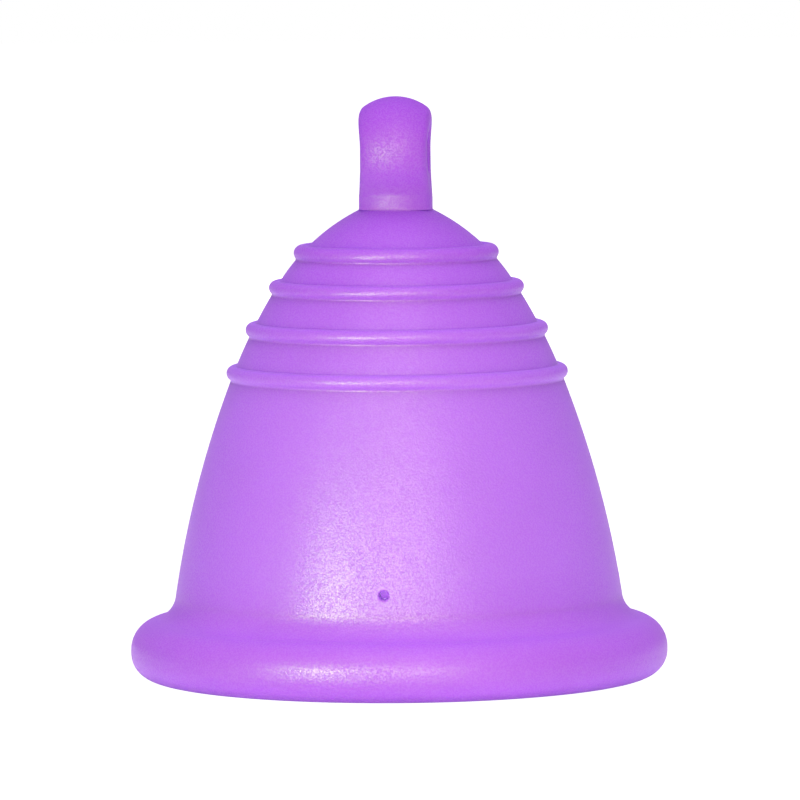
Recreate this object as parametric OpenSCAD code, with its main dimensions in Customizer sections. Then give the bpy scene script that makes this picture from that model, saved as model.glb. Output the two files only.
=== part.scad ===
// Soft bell-shaped cup with a rolled rim, four grip rings and a pull ring.
// Millimetres, +Z up. The origin is the centre of the mouth, on the plane the rim rests on.
// The outline is three arcs, each tangent to the next, then a round neck and the ring.

/* [Rim] */
// Outer diameter of the rim
rim_d = 45; // [43:0.5:47]
// Height at which the rim is widest
rim_wide_z = 2.4; // [2.2:0.1:2.7]
// Radius of the rim's lower outer edge
rim_low_r = 2.1; // [1.9:0.05:2.2]
// Radius of the rim's upper outside
rim_top_r = 2.5; // [2.3:0.05:2.7]
// Radius of the hollow corner between rim and wall
rim_fillet_r = 2.3; // [1.8:0.1:2.6]
// Radius of the lip inside the mouth
lip_r = 1.6; // [0.8:0.1:2]

/* [Bell] */
// Thickness of the bell's shell
shell_t = 1.7; // [1.3:0.1:2]
// Outer radius of the wall at its foot
foot_r = 18.78; // [18.2:0.02:19.4]
// Height of that radius above the mouth
foot_z = 6.4; // [6:0.1:6.8]
// Lean of the wall at its foot, inward from upright, in degrees
foot_lean = 8.3; // [7:0.1:10]
// Outline radius of the cup wall
wall_curve_r = 86; // [78:1:95]
// Outline radius of the shoulder
shoulder_curve_r = 45.5; // [42:0.5:50]
// Outline radius of the dome
dome_curve_r = 16.9; // [16.4:0.1:17.4]
// Height at which the wall ends and the shoulder starts
shoulder_z = 24.95; // [24.5:0.05:25.1]
// Height at which the shoulder ends and the dome starts
dome_curve_z = 33.1; // [33.1:0.05:33.9]
// Height of the flat ceiling inside the dome
ceiling_z = 37.4; // [36.8:0.1:37.8]

/* [Vent holes] */
// Number of vent holes around the wall
vent_count = 4; // [2:1:6]
// Diameter of a vent hole
vent_d = 0.8; // [0.5:0.1:1.4]
// Height of the vent holes
vent_z = 8.55; // [7.8:0.05:10]

/* [Grip rings] */
// Bead radius of the three lower grip rings
grip_r = 0.6; // [0.4:0.02:0.64]
// Bead radius of the top grip ring
grip_top_r = 0.68; // [0.5:0.02:0.8]
// Height of the second grip ring from the bottom
grip_2_z = 29.1; // [28.2:0.1:30]
// Height of the third grip ring
grip_3_z = 32.6; // [31.6:0.05:32.6]
// Height of the top grip ring
grip_4_z = 35.45; // [34.9:0.05:35.9]

/* [Handle] */
// Radius of the handle's round foot on the dome
neck_r = 3; // [2.8:0.05:3.2]
// Height of the round foot
foot_h = 1.1; // [0.9:0.1:1.3]
// Width of the root between the foot and the pull ring, along the ring's axis
root_w = 5.8; // [5.4:0.1:6]
// Depth of the root
root_depth = 5.2; // [4.2:0.1:5.4]
// Height of the root
root_h = 0.6; // [0.5:0.1:0.8]
// Outer diameter of the pull ring, whose outside is part of a ball
ring_d = 8.86; // [8.4:0.02:9.2]
// Width of the pull ring along its axis
ring_w = 6.12; // [5.6:0.02:6.2]
// Diameter of the hole through the pull ring
ring_hole_d = 3.8; // [3.2:0.1:4.2]
// Height of the pull ring's centre above the mouth
ring_z = 44.14; // [44.1:0.01:44.4]

/* [Hidden] */

fine = 720;     // segments of the large outline circles
medium = 120;   // segments of the beads, the neck and the pull ring
clear = 1;      // how far a cutting shape stands past what it cuts

function dir(angle) = [cos(angle), sin(angle)];
function angle_at(centre, r, z) = asin((z - centre.y) / r);
function radius_at(centre, r, z) = centre.x + sqrt(r * r - pow(z - centre.y, 2));

// The three outline arcs. Points are [radius, height]; angles are those of the outward normal.
wall_c = [foot_r, foot_z] - wall_curve_r * dir(foot_lean);
shoulder_a = angle_at(wall_c, wall_curve_r, shoulder_z);
shoulder_c = wall_c + (wall_curve_r - shoulder_curve_r) * dir(shoulder_a);
dome_curve_a = angle_at(shoulder_c, shoulder_curve_r, dome_curve_z);
dome_c = shoulder_c + (shoulder_curve_r - dome_curve_r) * dir(dome_curve_a);

// The hollow corner's circle touches the rim's upper circle and the wall's arc from outside.
rim_r = rim_d / 2;
rim_top_c = [rim_r - rim_top_r, rim_wide_z];
to_rim = rim_top_c - wall_c;
to_rim_len = norm(to_rim);
to_rim_u = to_rim / to_rim_len;
wall_reach = wall_curve_r + rim_fillet_r;
rim_reach = rim_top_r + rim_fillet_r;
along = (wall_reach * wall_reach - rim_reach * rim_reach + to_rim_len * to_rim_len) / (2 * to_rim_len);
across = sqrt(wall_reach * wall_reach - along * along);
fillet_c = wall_c + along * to_rim_u + across * [-to_rim_u.y, to_rim_u.x];
wall_a = atan2(fillet_c.y - wall_c.y, fillet_c.x - wall_c.x);
mouth_r = (wall_c + (wall_curve_r - shell_t) * dir(wall_a)).x;
mouth_top_z = (wall_c + (wall_curve_r - shell_t) * dir(wall_a)).y;

// The lowest grip ring starts where the wall ends.
grip_1_a = shoulder_a + 2 * asin(grip_r / (2 * shoulder_curve_r));
grip_1_z = shoulder_c.y + shoulder_curve_r * sin(grip_1_a);
dome_top_z = dome_c.y + sqrt(dome_curve_r * dome_curve_r - pow(neck_r - dome_c.x, 2));
ring_foot_z = dome_top_z + foot_h + root_h;

silicone = [0.72, 0.42, 0.95];

// The slice of the half plane between two angles, seen from an arc's centre
module wedge(centre, r, from, to) {
    reach = 2 * r;
    polygon([centre, centre + reach * dir(from), centre + reach * dir(to)]);
}

// A stretch of the shell's section along one arc, with both ends square to the surface
module shell_arc(centre, r, from, to) {
    intersection() {
        difference() {
            translate(centre) circle(r = r, $fn = fine);
            translate(centre) circle(r = r - shell_t, $fn = fine);
        }
        wedge(centre, r, from, to);
    }
}

module rim_section() {
    difference() {
        union() {
            polygon([[mouth_r, 0], [rim_r - rim_low_r, 0], [rim_r - rim_low_r, rim_wide_z],
                     rim_top_c, fillet_c, [mouth_r, mouth_top_z]]);
            translate([rim_r - rim_low_r, rim_low_r]) circle(r = rim_low_r, $fn = medium);
            translate([rim_r - rim_low_r, rim_low_r]) square([rim_low_r, rim_wide_z - rim_low_r]);
            intersection() {
                translate(rim_top_c) circle(r = rim_top_r, $fn = medium);
                translate(rim_top_c) square(rim_top_r + clear);
            }
        }
        translate(fillet_c) circle(r = rim_fillet_r, $fn = medium);
        difference() {
            translate([mouth_r - clear, -clear]) square([lip_r + clear, lip_r + clear]);
            translate([mouth_r + lip_r, lip_r]) circle(r = lip_r, $fn = medium);
        }
    }
}

module rim() {
    color(silicone) rotate_extrude($fn = fine) rim_section();
}

module cup_wall() {
    color(silicone) difference() {
        rotate_extrude($fn = fine) shell_arc(wall_c, wall_curve_r, wall_a, shoulder_a);
        for (i = [0 : vent_count - 1])
            rotate(i * 360 / vent_count - 90) translate([mouth_r / 2, 0, vent_z])
                rotate([0, 90, 0]) cylinder(d = vent_d, h = rim_r, $fn = 48);
    }
}

module shoulder() {
    color(silicone) rotate_extrude($fn = fine)
        shell_arc(shoulder_c, shoulder_curve_r, shoulder_a, dome_curve_a);
}

// A half-round bead whose centre lies on the outline arc
module grip_ring(centre, r, z, bead_r) {
    color(silicone) rotate_extrude($fn = fine) difference() {
        translate([radius_at(centre, r, z), z]) circle(r = bead_r, $fn = medium);
        translate(centre) circle(r = r, $fn = fine);
    }
}

module grip_ring_1() { grip_ring(shoulder_c, shoulder_curve_r, grip_1_z, grip_r); }
module grip_ring_2() { grip_ring(shoulder_c, shoulder_curve_r, grip_2_z, grip_r); }
module grip_ring_3() { grip_ring(shoulder_c, shoulder_curve_r, grip_3_z, grip_r); }
module grip_ring_4() { grip_ring(dome_c, dome_curve_r, grip_4_z, grip_top_r); }

module dome() {
    color(silicone) rotate_extrude($fn = fine) intersection() {
        difference() {
            translate(dome_c) circle(r = dome_curve_r, $fn = fine);
            intersection() {
                translate(dome_c) circle(r = dome_curve_r - shell_t, $fn = fine);
                square([rim_r, ceiling_z]);
            }
        }
        wedge(dome_c, dome_curve_r, dome_curve_a, 90);
        square([rim_r, dome_top_z]);
    }
}

// A round foot, and on it a root that is flattened front and back
module handle_neck() {
    color(silicone) translate([0, 0, dome_top_z]) {
        cylinder(r = neck_r, h = foot_h, $fn = medium);
        intersection() {
            cylinder(r = root_w / 2, h = foot_h + root_h, $fn = medium);
            translate([-root_w / 2, -root_depth / 2, 0])
                cube([root_w, root_depth, foot_h + root_h]);
        }
    }
}

// A ball cut flat on two sides and at the foot, with a hole from side to side
module pull_ring() {
    color(silicone) translate([0, 0, ring_z]) difference() {
        intersection() {
            sphere(d = ring_d, $fn = medium);
            translate([-ring_w / 2, -ring_d, ring_foot_z - ring_z]) cube([ring_w, 2 * ring_d, ring_d]);
        }
        rotate([0, 90, 0])
            cylinder(d = ring_hole_d, h = ring_w + 2 * clear, center = true, $fn = medium);
    }
}

rim();
cup_wall();
shoulder();
grip_ring_1();
grip_ring_2();
grip_ring_3();
grip_ring_4();
dome();
handle_neck();
pull_ring();
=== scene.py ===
"""Looks of the soft silicone cup: smooth meshes, matte elastomer, studio and camera.

Every piece replaces one CAD node, and all but the handle's two pieces ride on a body. Shapes
are worked out in millimetres from the CAD nodes' boxes and turned into metres when a mesh is made.
"""

import math

import bmesh
import bpy
import numpy as np
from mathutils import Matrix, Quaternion, Vector


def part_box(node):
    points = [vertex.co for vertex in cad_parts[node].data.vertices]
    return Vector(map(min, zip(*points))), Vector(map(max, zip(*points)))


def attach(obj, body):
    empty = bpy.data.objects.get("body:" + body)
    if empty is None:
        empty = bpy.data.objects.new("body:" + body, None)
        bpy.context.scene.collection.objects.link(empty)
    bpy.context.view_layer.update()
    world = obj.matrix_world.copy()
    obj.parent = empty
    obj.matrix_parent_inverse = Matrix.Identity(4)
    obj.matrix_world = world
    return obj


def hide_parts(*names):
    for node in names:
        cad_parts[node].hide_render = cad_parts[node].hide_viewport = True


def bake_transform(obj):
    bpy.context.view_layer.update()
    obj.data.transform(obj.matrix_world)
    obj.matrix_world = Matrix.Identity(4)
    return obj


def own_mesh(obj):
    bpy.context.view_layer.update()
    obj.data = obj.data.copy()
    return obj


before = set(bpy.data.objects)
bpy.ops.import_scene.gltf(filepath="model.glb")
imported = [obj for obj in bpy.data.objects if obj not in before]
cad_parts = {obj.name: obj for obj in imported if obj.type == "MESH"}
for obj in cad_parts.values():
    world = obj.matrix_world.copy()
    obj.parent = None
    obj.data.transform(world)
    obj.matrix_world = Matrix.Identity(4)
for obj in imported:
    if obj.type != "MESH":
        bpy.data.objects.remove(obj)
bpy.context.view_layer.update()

MM = 0.001

# ---------------------------------------------------------------- sizes, in millimetres

def cad(node):
    """The CAD node's box as (lowest, highest), in millimetres."""
    low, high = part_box(node)
    return low / MM, high / MM


# Outline radii of the bell, the shell's thickness and the ceiling inside the dome.
WALL_CURVE = 86.0
SHOULDER_CURVE = 45.5
DOME_CURVE = 16.9
SHELL = 1.7
CEILING_Z = 37.4

# The rim: radii of its lower edge, upper outside and inner lip, and where it is widest.
RIM_LOW = 2.1
RIM_TOP = 2.5
LIP = 1.6
RIM_WIDE_Z = 2.4

# Grip rings: bead radius, and the fillets above and below it.
GRIP_BEAD = 0.6
GRIP_TOP_BEAD = 0.68
GRIP_FILLET_UP = 0.12
GRIP_FILLET_LOW = 0.2
GRIP_SUNK = 0.2         # how far a bead's back lies below the outline

# Vent holes: number, radius, height and the round at each end.
VENTS = 4
VENT_R = 0.38
VENT_Z = 8.55
VENT_LIP = 0.2

# Pull ring.
RING_HOLE_R = 1.9
RING_CROWN = 4.5        # how round the outside is from flank to flank
RING_EDGE = 0.42        # round between the outside and the flanks
HOLE_EDGE = 0.3         # round at the hole's ends
RING_WAIST = 0.3        # how far the flanks are hollowed at the hole's height
WAIST_POWER = 4         # how soon the waist runs out above the hole
WAIST_RUN = 1.1         # how soon it runs out below

# Root and round foot, between the ring and the dome.
ROOT_HALF_DEPTH = 2.8
ROOT_HALF_WIDTH = 3.6
ROOT_TOP = 2.6          # how far the root's top lies below the ring's centre
ROOT_FILLET = 1.1
FOOT_H = 1.1
FOOT_TOP_ROUND = 0.3
FOOT_BLEND = 0.45       # fillet between the foot and the root
FOOT_FILLET = 0.42      # fillet between the foot and the dome

# Meshes.
AROUND = 288            # columns of the turned meshes
ROW = 0.4               # spacing of their rows
RIM_ROW = 0.2           # the same on the rim
BEAD_ROW = 0.08         # the same round a grip ring's bead
BEAD_TOP_ROW = 0.07     # the same on the fillet above it
FILLET_ROW = 0.05       # the same on the fillet below it, and at the handle's foot
NET_STEP = 0.12         # grid of the handle's mesh
SHARP = 40              # edges that turn by more degrees than this stay sharp
BEAD_SHARP = 60         # the same on the grip rings

rim_high = cad("rim")[1]
wall_high = cad("cup_wall")[1]
shoulder_high = cad("shoulder")[1]
dome_high = cad("dome")[1]
neck_high = cad("handle_neck")[1]
ring_low, ring_high = cad("pull_ring")

RIM_R = rim_high.x
WALL_FOOT = (wall_high.x, rim_high.z)
SHOULDER_FOOT = (shoulder_high.x, wall_high.z)
DOME_FOOT = (dome_high.x, shoulder_high.z)
NECK_R = neck_high.x
DOME_TOP_Z = dome_high.z
RING_FOOT_Z = ring_low.z
RING_R = (ring_high.y - ring_low.y) / 2
RING_Z = ring_high.z - RING_R
RING_HALF_W = ring_high.x


# ---------------------------------------------------------------- outline arcs

def on_circle(centre, radius, angle):
    """The point of a circle at an angle, as (radius from the cup's axis, height)."""
    return (centre[0] + radius * math.cos(angle), centre[1] + radius * math.sin(angle))


def angle_of(centre, point):
    """The angle at which a point is seen from a centre."""
    return math.atan2(point[1] - centre[1], point[0] - centre[0])


def arc(centre, radius, start, end, spacing=ROW):
    """Points of an arc from one angle to another, both ends included."""
    steps = max(2, math.ceil(abs(end - start) * radius / spacing))
    return [on_circle(centre, radius, start + (end - start) * i / steps)
            for i in range(steps + 1)]


def centre_through(low, high, radius):
    """Centre of the circle through two outline points, on the axis side of them."""
    mid = ((low[0] + high[0]) / 2, (low[1] + high[1]) / 2)
    chord = (high[0] - low[0], high[1] - low[1])
    length = math.hypot(*chord)
    reach = math.sqrt(radius**2 - (length / 2) ** 2)
    return (mid[0] - reach * chord[1] / length, mid[1] + reach * chord[0] / length)


WALL_C = centre_through(WALL_FOOT, SHOULDER_FOOT, WALL_CURVE)
SHOULDER_C = centre_through(SHOULDER_FOOT, DOME_FOOT, SHOULDER_CURVE)
dome_foot_a = angle_of(SHOULDER_C, DOME_FOOT)
DOME_C = on_circle(SHOULDER_C, SHOULDER_CURVE - DOME_CURVE, dome_foot_a)
wall_foot_a = angle_of(WALL_C, WALL_FOOT)
shoulder_foot_a = angle_of(WALL_C, SHOULDER_FOOT)
MOUTH_R, MOUTH_TOP_Z = on_circle(WALL_C, WALL_CURVE - SHELL, wall_foot_a)


def inner_angle(centre, curve, height):
    """The angle at which the shell's inside, on an outline arc's centre, reaches a height."""
    return math.asin((height - centre[1]) / (curve - SHELL))


# The wall's two seams are level, so that they stay shut when the wall is squashed.
wall_inner_foot_a = inner_angle(WALL_C, WALL_CURVE, WALL_FOOT[1])
wall_inner_top_a = inner_angle(WALL_C, WALL_CURVE, SHOULDER_FOOT[1])
shoulder_inner_foot_a = inner_angle(SHOULDER_C, SHOULDER_CURVE, SHOULDER_FOOT[1])


# ---------------------------------------------------------------- mesh makers

def mesh_object(name, points_mm, faces, sharp=SHARP):
    """A smooth-shaded object from points in millimetres, with its sharp edges kept."""
    mesh = bpy.data.meshes.new(name)
    mesh.from_pydata([[c * MM for c in p] for p in points_mm], [], faces)
    mesh.validate()
    work = bmesh.new()
    work.from_mesh(mesh)
    bmesh.ops.recalc_face_normals(work, faces=work.faces)
    work.to_mesh(mesh)
    work.free()
    mesh.shade_smooth()
    mesh.set_sharp_from_angle(angle=math.radians(sharp))
    made = bpy.data.objects.new(name, mesh)
    bpy.context.scene.collection.objects.link(made)
    return made


def turned(profile, skip=None):
    """Points, faces and rows of point numbers of a closed profile turned round the axis.

    skip(row, column) says which faces to leave out.
    """
    points, rows = [], []
    on_axis = 1e-6
    for radius, height in profile:
        if radius < on_axis:
            rows.append([len(points)] * AROUND)
            points.append((0, 0, height))
            continue
        rows.append([len(points) + j for j in range(AROUND)])
        for j in range(AROUND):
            turn = 2 * math.pi * j / AROUND
            points.append((radius * math.cos(turn), radius * math.sin(turn), height))
    faces = []
    for i in range(len(rows)):
        low, high = rows[i], rows[(i + 1) % len(rows)]
        for j in range(AROUND):
            if skip and skip(i, j):
                continue
            k = (j + 1) % AROUND
            corners = []
            for c in (low[j], low[k], high[k], high[j]):
                if c not in corners:
                    corners.append(c)
            if len(corners) > 2:
                faces.append(corners)
    return points, faces, rows


def surface_net(field, low, high, step):
    """Points and faces of the surface where a field is zero; the field is negative inside.

    Each cell that the surface crosses gets one point, which is then drawn onto the surface.
    """
    axes = [np.arange(low[a] - step, high[a] + 2 * step, step) for a in range(3)]
    grid = np.stack(np.meshgrid(*axes, indexing="ij"), -1)
    value = field(grid)
    inside = value < 0
    cells = tuple(n - 1 for n in value.shape)
    total = np.zeros(cells + (3,))
    count = np.zeros(cells)
    crossings = []
    for a in range(3):
        here = [slice(None)] * 3
        there = [slice(None)] * 3
        here[a], there[a] = slice(0, -1), slice(1, None)
        here, there = tuple(here), tuple(there)
        crosses = inside[here] != inside[there]
        index = np.argwhere(crosses)
        f0, f1 = value[here][crosses], value[there][crosses]
        share = f0 / (f0 - f1)
        spots = grid[here][crosses].copy()
        spots[:, a] += share * step
        b, c = [x for x in range(3) if x != a]
        for db in (0, 1):
            for dc in (0, 1):
                cell = index.copy()
                cell[:, b] -= db
                cell[:, c] -= dc
                np.add.at(total, tuple(cell.T), spots)
                np.add.at(count, tuple(cell.T), 1)
        crossings.append((a, b, c, index, f0 < 0))
    used = count > 0
    number = np.full(cells, -1)
    number[used] = np.arange(used.sum())
    points = total[used] / count[used][:, None]
    nudge, least_slope, pulls = 1e-4, 0.05, 6
    for _ in range(pulls):
        off = field(points)
        slope = np.stack([(field(points + nudge * e) - field(points - nudge * e)) / (2 * nudge)
                          for e in np.eye(3)], -1)
        points -= (off / np.maximum((slope**2).sum(-1), least_slope))[:, None] * slope
    faces = []
    for a, b, c, index, starts_inside in crossings:
        quads = []
        for db, dc in ((1, 1), (0, 1), (0, 0), (1, 0)):
            cell = index.copy()
            cell[:, b] -= db
            cell[:, c] -= dc
            quads.append(number[tuple(cell.T)])
        quads = np.stack(quads, -1)
        turn_over = starts_inside if a != 1 else ~starts_inside
        quads[~turn_over] = quads[~turn_over][:, ::-1]
        faces.extend(quads.tolist())
    return points.tolist(), faces


def cut_flat(made, height_mm, keep_above):
    """Cuts an object at a height and closes the cut with a flat face."""
    work = bmesh.new()
    work.from_mesh(made.data)
    everything = work.verts[:] + work.edges[:] + work.faces[:]
    found = bmesh.ops.bisect_plane(work, geom=everything, dist=1e-8,
                                   plane_co=(0, 0, height_mm * MM), plane_no=(0, 0, 1),
                                   clear_inner=keep_above, clear_outer=not keep_above)
    edges = [g for g in found["geom_cut"] if isinstance(g, bmesh.types.BMEdge)]
    bmesh.ops.holes_fill(work, edges=edges, sides=0)
    work.to_mesh(made.data)
    work.free()
    made.data.shade_smooth()
    made.data.set_sharp_from_angle(angle=math.radians(SHARP))


# ---------------------------------------------------------------- pieces of the bell

def rim():
    """The rolled bead round the mouth, its inner lip and the hollow corner up to the wall."""
    low_c = (RIM_R - RIM_LOW, RIM_LOW)
    top_c = (RIM_R - RIM_TOP, RIM_WIDE_Z)
    lip_c = (MOUTH_R + LIP, LIP)
    fillet = fillet_radius(top_c)
    fillet_c = on_circle(WALL_C, WALL_CURVE + fillet, wall_foot_a)
    to_fillet = angle_of(top_c, fillet_c)
    profile = arc(WALL_C, WALL_CURVE - SHELL, wall_inner_foot_a, wall_foot_a)
    profile += [(MOUTH_R, (MOUTH_TOP_Z + LIP) / 2)]
    profile += arc(lip_c, LIP, math.pi, 1.5 * math.pi, RIM_ROW)
    profile += arc(low_c, RIM_LOW, -math.pi / 2, 0, RIM_ROW)
    profile += arc(top_c, RIM_TOP, 0, to_fillet, RIM_ROW)
    profile += arc(fillet_c, fillet, to_fillet + math.pi, wall_foot_a + math.pi, RIM_ROW)[1:]
    points, faces, _ = turned(profile)
    return mesh_object("rim_bead", points, faces)


def fillet_radius(top_c):
    """The hollow corner's radius, by halving, from the place where it touches the wall."""
    low, high, halvings = 0.2, 4.0, 50
    for _ in range(halvings):
        middle = (low + high) / 2
        centre = on_circle(WALL_C, WALL_CURVE + middle, wall_foot_a)
        if math.dist(centre, top_c) > RIM_TOP + middle:
            low = middle
        else:
            high = middle
    return middle


def wall_place(base_a, turn, along, depth):
    """A point of the wall: turn about the axis, way up the outline, and height off the surface."""
    radius, height = on_circle(WALL_C, WALL_CURVE + depth, base_a + along / WALL_CURVE)
    return (radius * math.cos(turn), radius * math.sin(turn), height)


def steps_between(start, end, steps):
    """Evenly spaced values from start up to but without end."""
    return [start + (end - start) * i / steps for i in range(steps)]


def bell_wall():
    """The wall, turned, with a square patch left out at each vent and filled with its hole."""
    half = 4            # half the patch's side, in rows and columns
    vent_a = math.asin((VENT_Z - WALL_C[1]) / WALL_CURVE)
    below = (vent_a - wall_foot_a) * WALL_CURVE
    above = (shoulder_foot_a - vent_a) * WALL_CURVE
    rows_below = max(half + 1, round(below / ROW))
    rows_above = round(above / ROW)

    def side(curve, foot_a, top_a):
        """One face of the shell from its foot to its top, with a row at the vents' height."""
        angles = steps_between(foot_a, vent_a, rows_below)
        angles += steps_between(vent_a, top_a, rows_above) + [top_a]
        return [on_circle(WALL_C, curve, a) for a in angles]

    outer = side(WALL_CURVE, wall_foot_a, shoulder_foot_a)
    inner = side(WALL_CURVE - SHELL, wall_inner_foot_a, wall_inner_top_a)
    vent_row = rows_below
    inner_row = len(outer) + len(inner) - 1 - vent_row
    columns = [AROUND * q // VENTS for q in range(VENTS)]

    def near_vent(i, j):
        by_row = any(row - half <= i < row + half for row in (vent_row, inner_row))
        return by_row and any((j - c + half) % AROUND < 2 * half for c in columns)

    points, faces, grid = turned(outer + inner[::-1], near_vent)
    vent_radius = on_circle(WALL_C, WALL_CURVE, vent_a)[0]
    step = 2 * math.pi / AROUND
    row_step = above / rows_above
    lean = math.tan(vent_a)
    border = [(i, -half) for i in range(-half, half)]
    border += [(half, j) for j in range(-half, half)]
    border += [(i, half) for i in range(half, -half, -1)]
    border += [(-half, j) for j in range(half, -half, -1)]

    def ring(turn0, radius, depth, blend=1.0):
        """A loop of points round a hole, on the way from the square border to a circle."""
        made = []
        drop = -depth * lean
        for i, j in border:
            square = (j * step * vent_radius, i * row_step)
            way = math.atan2(square[1], square[0])
            round_at = (radius * math.cos(way), radius * math.sin(way) + drop)
            across = square[0] + (round_at[0] - square[0]) * blend
            along = square[1] + (round_at[1] - square[1]) * blend
            made.append(len(points))
            points.append(wall_place(vent_a, turn0 + across / vent_radius, along, depth))
        return made

    wide = VENT_R + VENT_LIP
    near, nearer = wide + 0.25, wide + 0.1
    blends = (0.3, 0.6, 0.85)
    lip_steps, bore_steps = 6, 4
    quarter = [math.pi / 2 * k / lip_steps for k in range(lip_steps + 1)]
    for column in columns:
        turn0 = step * column
        loops = [[grid[vent_row + i][(column + j) % AROUND] for i, j in border]]
        for blend in blends:
            loops.append(ring(turn0, near, 0, blend))
        loops.append(ring(turn0, nearer, 0))
        for a in quarter:
            loops.append(ring(turn0, wide - VENT_LIP * math.sin(a), -VENT_LIP * (1 - math.cos(a))))
        for depth in np.linspace(VENT_LIP, SHELL - VENT_LIP, bore_steps + 1)[1:]:
            loops.append(ring(turn0, VENT_R, -depth))
        for a in quarter[1:]:
            loops.append(ring(turn0, VENT_R + VENT_LIP * (1 - math.cos(a)),
                              -SHELL + VENT_LIP * (1 - math.sin(a))))
        for blend in reversed(blends):
            loops.append(ring(turn0, near, -SHELL, blend))
        loops.append([grid[inner_row - i][(column + j) % AROUND] for i, j in border])
        for first, second in zip(loops, loops[1:]):
            for k in range(len(border)):
                n = (k + 1) % len(border)
                faces.append([first[k], first[n], second[n], second[k]])
    return mesh_object("bell_wall", points, faces)


def shoulder():
    """The shell between the wall and the dome, without its beads."""
    outer = arc(SHOULDER_C, SHOULDER_CURVE, shoulder_foot_a, dome_foot_a)
    inner = arc(SHOULDER_C, SHOULDER_CURVE - SHELL, dome_foot_a, shoulder_inner_foot_a)
    points, faces, _ = turned(outer + inner)
    return mesh_object("ribbed_shoulder", points, faces)


def grip_ring(name, node, centre, curve, bead):
    """A bead on the outline, with a small fillet above and below it."""
    low, high = cad(node)
    fill = 0.9              # the width of the bead's back, as a share of its foot
    middle = math.asin(((low.z + high.z) / 2 - centre[1]) / curve)

    def on_outline(along, out):
        return on_circle(centre, curve + out, middle + along / curve)

    def foot(fillet):
        """How far from the bead's middle a fillet meets the outline."""
        return math.sqrt((bead + fillet) ** 2 - fillet**2)

    section = []
    low_foot, up_foot = foot(GRIP_FILLET_LOW), foot(GRIP_FILLET_UP)
    low_turn = math.atan2(GRIP_FILLET_LOW, low_foot)
    up_turn = math.atan2(GRIP_FILLET_UP, up_foot)
    section += arc((-low_foot, GRIP_FILLET_LOW), GRIP_FILLET_LOW,
                   -math.pi / 2, -low_turn, FILLET_ROW)
    section += arc((0, 0), bead, math.pi - low_turn, up_turn, BEAD_ROW)[1:-1]
    section += arc((up_foot, GRIP_FILLET_UP), GRIP_FILLET_UP,
                   math.pi + up_turn, 1.5 * math.pi, BEAD_TOP_ROW)
    section += [(up_foot * fill, -GRIP_SUNK), (-low_foot * fill, -GRIP_SUNK)]
    points, faces, _ = turned([on_outline(along, out) for along, out in section])
    return mesh_object(name, points, faces, sharp=BEAD_SHARP)


# Centre of the fillet between the round foot and the dome.
FOOT_C_R = NECK_R + FOOT_FILLET
FOOT_C_Z = DOME_C[1] + math.sqrt((DOME_CURVE + FOOT_FILLET) ** 2 - (FOOT_C_R - DOME_C[0]) ** 2)


def dome():
    """The closed top, flat inside, with the fillet up to the handle's foot."""
    foot_c = (FOOT_C_R, FOOT_C_Z)
    touch = angle_of(DOME_C, foot_c)
    cut_a = math.pi + math.asin((FOOT_C_Z - DOME_TOP_Z) / FOOT_FILLET)
    inner_r = DOME_CURVE - SHELL
    inner_end = math.asin((CEILING_Z - DOME_C[1]) / inner_r)
    profile = arc(DOME_C, DOME_CURVE, dome_foot_a, touch)
    profile += arc(foot_c, FOOT_FILLET, touch + math.pi, cut_a, FILLET_ROW)[1:]
    profile += [(0, DOME_TOP_Z), (0, CEILING_Z)]
    profile += arc(DOME_C, inner_r, inner_end, dome_foot_a)
    points, faces, _ = turned(profile)
    return mesh_object("dome_cap", points, faces)


# ---------------------------------------------------------------- handle

def round_both(a, b, radius):
    """Where both fields are inside, with the edge between them rounded."""
    corner = np.hypot(np.maximum(radius + a, 0), np.maximum(radius + b, 0))
    return np.minimum(-radius, np.maximum(a, b)) + corner


def round_either(a, b, radius):
    """Where either field is inside, with a fillet of that radius between them."""
    corner = np.hypot(np.maximum(radius - a, 0), np.maximum(radius - b, 0))
    return np.maximum(radius, np.minimum(a, b)) - corner


def handle_field(p):
    """The whole handle as a field, negative inside, at points in millimetres."""
    x, y, z = p[..., 0], p[..., 1], p[..., 2]
    up = z - RING_Z
    reach = np.hypot(y, up)
    # The ring, crowned outside, runs into a root that is flattened front and back.
    crown = np.hypot(x, reach - (RING_R - RING_CROWN)) - RING_CROWN
    root = (np.hypot(x / ROOT_HALF_WIDTH, y / ROOT_HALF_DEPTH) - 1) * ROOT_HALF_DEPTH
    root = np.maximum(root, z - (RING_Z - ROOT_TOP))
    solid = round_either(crown, root, ROOT_FILLET)
    # The flanks are gently waisted, and the hole runs along X.
    level = np.clip(up / RING_R, -1, 1) ** 2
    waist = RING_WAIST * np.where(up > 0, (1 - level) ** WAIST_POWER,
                                 np.maximum(1 - WAIST_RUN * level, 0))
    flank = np.abs(x) - (RING_HALF_W - waist)
    solid = round_both(solid, flank, RING_EDGE)
    solid = round_both(solid, RING_HOLE_R - reach, HOLE_EDGE)
    # The round foot with its fillet on the dome.
    around = np.hypot(x, y)
    foot = round_both(around - NECK_R, z - (DOME_TOP_Z + FOOT_H), FOOT_TOP_ROUND)
    solid = round_either(solid, foot, FOOT_BLEND)
    solid = np.maximum(solid, np.abs(x) - NECK_R)
    flare = np.maximum(FOOT_FILLET - np.hypot(around - FOOT_C_R, z - FOOT_C_Z),
                       np.maximum(around - FOOT_C_R, z - FOOT_C_Z))
    return np.minimum(solid, flare)


def handle_mesh(name):
    """The whole handle's mesh, closed a little below the dome's top."""
    wide, near, deep = 0.6, 0.1, 0.4
    low = (-NECK_R - wide, ring_low.y - near, DOME_TOP_Z - wide)
    high = (NECK_R + wide, ring_high.y + near, ring_high.z + near)

    def closed(p):
        return np.maximum(handle_field(p), DOME_TOP_Z - deep - p[..., 2])

    points, faces = surface_net(closed, low, high, NET_STEP)
    return mesh_object(name, points, faces)


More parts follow.
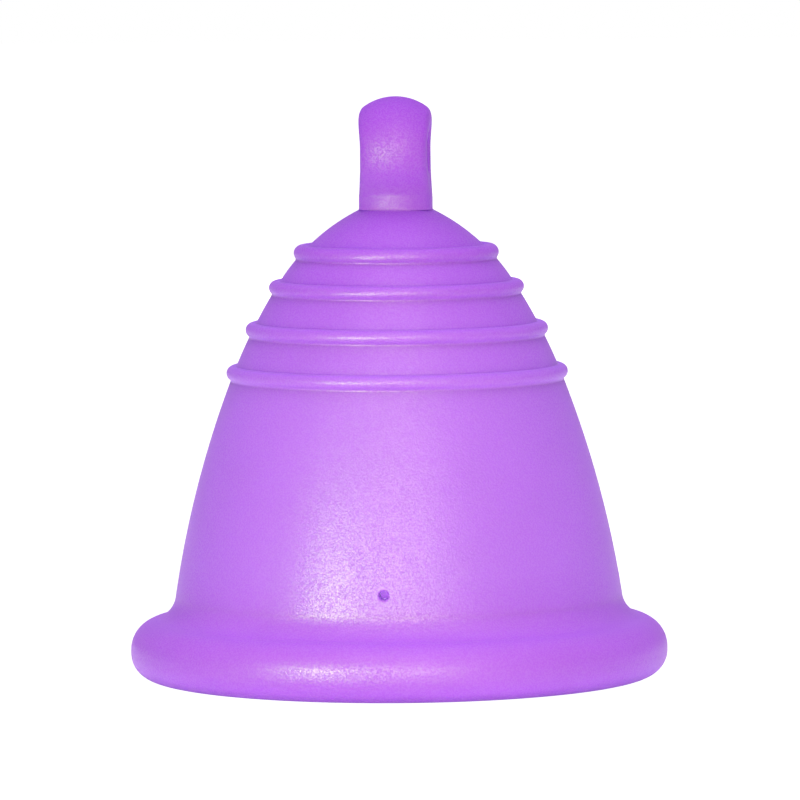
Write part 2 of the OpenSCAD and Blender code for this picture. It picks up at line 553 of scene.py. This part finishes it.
def handle_neck():
    """The handle's lower end, from the dome up to the ring."""
    made = handle_mesh("handle_neck_flex")
    cut_flat(made, DOME_TOP_Z, keep_above=True)
    cut_flat(made, RING_FOOT_Z, keep_above=False)
    return made


def pull_ring():
    """The handle's upper end, with the hole."""
    made = handle_mesh("pull_ring_loop")
    cut_flat(made, RING_FOOT_Z, keep_above=True)
    return made


# ---------------------------------------------------------------- material

# Colours by height in millimetres: the thick rim and handle are deeper, and the thin wall is
# painted paler for light shining through it.
COLOURS = ((4.0, (0.42, 0.12, 0.82)),
           (10.0, (0.435, 0.152, 0.86)),
           (24.0, (0.435, 0.152, 0.86)),
           (44.0, (0.355, 0.077, 0.74)))
COLOURS_TOP = 50.0      # height at which the ramp of colours ends

# Sizes of the noises, as their scales, and how far the pigment drifts.
PIGMENT_SCALE = 120
GRAIN_SCALE = 6500
GLINT_SCALE = 7500
PIGMENT_DRIFT = 0.02
BUMP_STRENGTH = 0.3
BUMP_HEIGHT = 0.06      # millimetres


def elastomer(name, rough=(0.385, 0.465), glint=0.32):
    """Matte coloured silicone with the fine grain of a blasted mould.

    rough is the range of its roughness, and glint how far its reflection swings about the middle.
    """
    material = bpy.data.materials.new(name)
    material.use_nodes = True
    nodes, links = material.node_tree.nodes, material.node_tree.links
    shader = nodes["Principled BSDF"]
    coords = nodes.new("ShaderNodeTexCoord")

    def noise(scale, detail):
        """A noise in the object's own coordinates."""
        node = nodes.new("ShaderNodeTexNoise")
        node.inputs["Scale"].default_value = scale
        node.inputs["Detail"].default_value = detail
        links.new(coords.outputs["Object"], node.inputs["Vector"])
        return node.outputs["Fac"]

    def spread(source, start, end, low, high):
        """A value taken from the range start to end into the range low to high."""
        node = nodes.new("ShaderNodeMapRange")
        node.inputs["From Min"].default_value = start
        node.inputs["From Max"].default_value = end
        node.inputs["To Min"].default_value = low
        node.inputs["To Max"].default_value = high
        links.new(source, node.inputs["Value"])
        return node.outputs["Result"]

    # Colour by height, with painted light: the thin wall is paler for light shining through it.
    height = nodes.new("ShaderNodeSeparateXYZ")
    links.new(coords.outputs["Object"], height.inputs["Vector"])
    ramp = nodes.new("ShaderNodeValToRGB")
    links.new(spread(height.outputs["Z"], 0, COLOURS_TOP * MM, 0, 1), ramp.inputs["Fac"])
    stops = ramp.color_ramp.elements
    while len(stops) < len(COLOURS):
        stops.new(0.5)
    for stop, (level, colour) in zip(stops, COLOURS):
        stop.position = level / COLOURS_TOP
        stop.color = (*colour, 1)
    # Colour drifts very slightly over centimetres, as pigment does in a moulding.
    drift = spread(noise(PIGMENT_SCALE, 2.0), 0.3, 0.7, 1 - PIGMENT_DRIFT, 1 + PIGMENT_DRIFT)
    drifted = nodes.new("ShaderNodeMix")
    drifted.data_type = "RGBA"
    drifted.blend_type = "MULTIPLY"
    drifted.inputs["Factor"].default_value = 1.0
    links.new(ramp.outputs["Color"], drifted.inputs["A"])
    links.new(drift, drifted.inputs["B"])
    links.new(next(o for o in drifted.outputs if o.type == "RGBA"), shader.inputs["Base Color"])

    # The blasted grain glints: it varies how strongly each spot reflects, and how sharply.
    fine = noise(GRAIN_SCALE, 1.0)
    links.new(spread(fine, 0.3, 0.7, *rough), shader.inputs["Roughness"])
    links.new(spread(noise(GLINT_SCALE, 1.0), 0.4, 0.6, 0.5 - glint, 0.5 + glint),
              shader.inputs["Specular IOR Level"])
    bump = nodes.new("ShaderNodeBump")
    bump.inputs["Strength"].default_value = BUMP_STRENGTH
    bump.inputs["Distance"].default_value = BUMP_HEIGHT * MM
    links.new(fine, bump.inputs["Height"])
    links.new(bump.outputs["Normal"], shader.inputs["Normal"])

    shader.inputs["IOR"].default_value = 1.42
    shader.inputs["Subsurface Weight"].default_value = 0.2
    shader.inputs["Subsurface Radius"].default_value = (0.0006, 0.0003, 0.0007)
    shader.inputs["Subsurface Scale"].default_value = 1.0
    return material


rim_material = elastomer("silicone_rim")
body_material = elastomer("silicone_body")
handle_material = elastomer("silicone_handle", rough=(0.5, 0.6), glint=0.3)


# ---------------------------------------------------------------- assembly

def place(made, node, body, material):
    """Stands an object in for a CAD node, and puts it on a body if one is given."""
    made.data.materials.append(material)
    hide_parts(node)
    if body:
        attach(made, body)
    return made


grip_rings = [(1, SHOULDER_C, SHOULDER_CURVE, GRIP_BEAD),
              (2, SHOULDER_C, SHOULDER_CURVE, GRIP_BEAD),
              (3, SHOULDER_C, SHOULDER_CURVE, GRIP_BEAD),
              (4, DOME_C, DOME_CURVE, GRIP_TOP_BEAD)]

place(rim(), "rim", "cup_base", rim_material)
wall = place(bell_wall(), "cup_wall", "cup_base", body_material)
place(shoulder(), "shoulder", "crown", body_material)
for number, centre, curve, bead in grip_rings:
    node = f"grip_ring_{number}"
    place(grip_ring(f"grip_bead_{number}", node, centre, curve, bead),
          node, "crown", body_material)
place(dome(), "dome", "crown", body_material)
neck = place(handle_neck(), "handle_neck", None, handle_material)
loop = place(pull_ring(), "pull_ring", None, handle_material)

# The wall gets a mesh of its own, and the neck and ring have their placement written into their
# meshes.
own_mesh(wall)
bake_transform(neck)
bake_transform(loop)


# ---------------------------------------------------------------- studio

AIM_Z = 20                      # height that the lights face, in millimetres
SKY_STRENGTH = 0.332
SKY_TINT = (1.03, 0.91, 1.06)
# The front lights are low in blue, so that the purple stays below clipping.
SHEEN = (1, 1, 0.55)
MATTE = (1, 1, 0.5)
PLAIN = (1, 1, 1)
KEY_SHEEN = (0.85, 1.16, 0.4)
NEAR_MATTE = (1, 1, 0.42)

INNER_TINT = (0.65, 1, 0.3)
INNER_POWER = 0.011
INNER_SIZE = 4                  # millimetres
INNER_Z = 15                    # the same

# name, azimuth (0 in front, along -Y), height, distance from the axis, side (all in
# millimetres), watts, what it lights, tint
SOFTBOXES = (
    ("key_matte", -25.5, 22, 150, 50, 0.034, "matte", MATTE),
    ("key_sheen", -28.5, 22, 150, 42, 0.29, "sheen", KEY_SHEEN),
    ("front_sheen", 6, 60, 600, 400, 5.6, "sheen", SHEEN),
    ("near_matte", 14, 44, 160, 80, 0.08, "matte", NEAR_MATTE),
    ("upper_sheen", 4, 500, 400, 500, 1.3, "sheen", SHEEN),
    ("left_matte", -80, 60, 600, 400, 0.25, "matte", PLAIN),
    ("right_matte", 96, 500, 500, 400, 0.12, "matte", PLAIN),
    ("top_matte", 4, 600, 60, 500, 2.55, "matte", PLAIN),
    ("back_matte", 184, 60, 600, 400, 1.5, "matte", PLAIN),
)


def glow_white(name, albedo, emission):
    """A matte white that also glows by itself."""
    material = bpy.data.materials.new(name)
    material.use_nodes = True
    shader = material.node_tree.nodes["Principled BSDF"]
    shader.inputs["Base Color"].default_value = (albedo, albedo, albedo, 1)
    shader.inputs["Roughness"].default_value = 0.9
    shader.inputs["Specular IOR Level"].default_value = 0.0
    shader.inputs["Emission Color"].default_value = (1, 1, 1, 1)
    shader.inputs["Emission Strength"].default_value = emission
    return material


def staged(name, points, faces, albedo, emission):
    """A white part of the set, with a material of its own name."""
    mesh = bpy.data.meshes.new(name)
    mesh.from_pydata(points, [], faces)
    mesh.materials.append(glow_white(name, albedo, emission))
    made = bpy.data.objects.new(name, mesh)
    bpy.context.scene.collection.objects.link(made)
    return made


def seen_only_by_camera(made):
    """Keeps a part of the set from lighting or shading the cup."""
    made.visible_diffuse = False
    made.visible_glossy = False
    made.visible_transmission = False
    made.visible_volume_scatter = False
    made.visible_shadow = False


def studio():
    """A pale floor that lights the cup from below, and the white set that the camera sees."""
    size = 6.0
    square = [(-size, -size, 0), (size, -size, 0), (size, size, 0), (-size, size, 0)]
    bounce = staged("studio_bounce", square, [(0, 1, 2, 3)], albedo=0.88, emission=0.27)
    bounce.visible_camera = False
    seen_only_by_camera(staged("studio_floor", square, [(0, 1, 2, 3)], albedo=0.5, emission=0.86))
    sides, radius, foot, height = 64, 2.4, -0.1, 3.0
    turns = [2 * math.pi * i / sides for i in range(sides)]
    circle = [(radius * math.cos(turn), radius * math.sin(turn)) for turn in turns]
    points = [(x, y, z) for z in (foot, height) for x, y in circle]
    faces = [(i, (i + 1) % sides, sides + (i + 1) % sides, sides + i) for i in range(sides)]
    seen_only_by_camera(staged("studio_backdrop", points, faces, albedo=0.0, emission=1.0))


def sky():
    """The even light from all round."""
    world = bpy.data.worlds.new("studio")
    world.use_nodes = True
    background = world.node_tree.nodes["Background"]
    background.inputs["Color"].default_value = (*SKY_TINT, 1)
    background.inputs["Strength"].default_value = SKY_STRENGTH
    bpy.context.scene.world = world


def linked_light(name, kind, power, tint):
    """A light that the camera doesn't see."""
    data = bpy.data.lights.new(name, kind)
    data.energy = power
    data.color = tint
    made = bpy.data.objects.new(name, data)
    made.visible_camera = False
    bpy.context.scene.collection.objects.link(made)
    return made


def softbox(name, azimuth, height_mm, distance_mm, size_mm, power, lights, tint):
    """A square light that faces the cup's axis.

    lights is "matte" for a light that only fills the matte colour, or "sheen" for one that only
    makes the soft reflection.
    """
    made = linked_light(name, "AREA", power, tint)
    made.data.shape = "SQUARE"
    made.data.size = size_mm * MM
    turn = math.radians(azimuth)
    spot = Vector((math.sin(turn) * distance_mm, -math.cos(turn) * distance_mm, height_mm)) * MM
    made.location = spot
    made.rotation_mode = "QUATERNION"
    made.rotation_quaternion = (Vector((0, 0, AIM_Z * MM)) - spot).to_track_quat("-Z", "Y")
    made.visible_diffuse = lights == "matte"
    made.visible_glossy = lights == "sheen"


def inner_light():
    """Light inside the cup, which shows through the vents."""
    made = linked_light("inner_light", "POINT", INNER_POWER, INNER_TINT)
    made.data.shadow_soft_size = INNER_SIZE * MM
    made.location = (0, 0, INNER_Z * MM)
    made.visible_glossy = False


def camera():
    """A long lens, a little above the cup and turned a few degrees to its right."""
    azimuth, elevation, roll = math.radians(3.8), math.radians(4.2), math.radians(0.45)
    distance, view_width = 587.0, 66.98     # millimetres
    aim_z, aim_right = 23.14, 0.22          # the same
    data = bpy.data.cameras.new("camera")
    data.sensor_width = 36.0
    data.lens = data.sensor_width * distance / view_width
    data.clip_start, data.clip_end = 0.01, 20
    made = bpy.data.objects.new("camera", data)
    back = Vector((math.sin(azimuth) * math.cos(elevation),
                   -math.cos(azimuth) * math.cos(elevation), math.sin(elevation)))
    right = Vector((math.cos(azimuth), math.sin(azimuth), 0))
    aim = Vector((0, 0, aim_z)) + aim_right * right
    made.location = (aim + back * distance) * MM
    made.rotation_mode = "QUATERNION"
    made.rotation_quaternion = (-back).to_track_quat("-Z", "Y") @ Quaternion((0, 0, 1), -roll)
    bpy.context.scene.collection.objects.link(made)
    bpy.context.scene.camera = made


studio()
sky()
for light in SOFTBOXES:
    softbox(*light)
inner_light()
camera()
bpy.context.scene.view_settings.view_transform = "Standard"
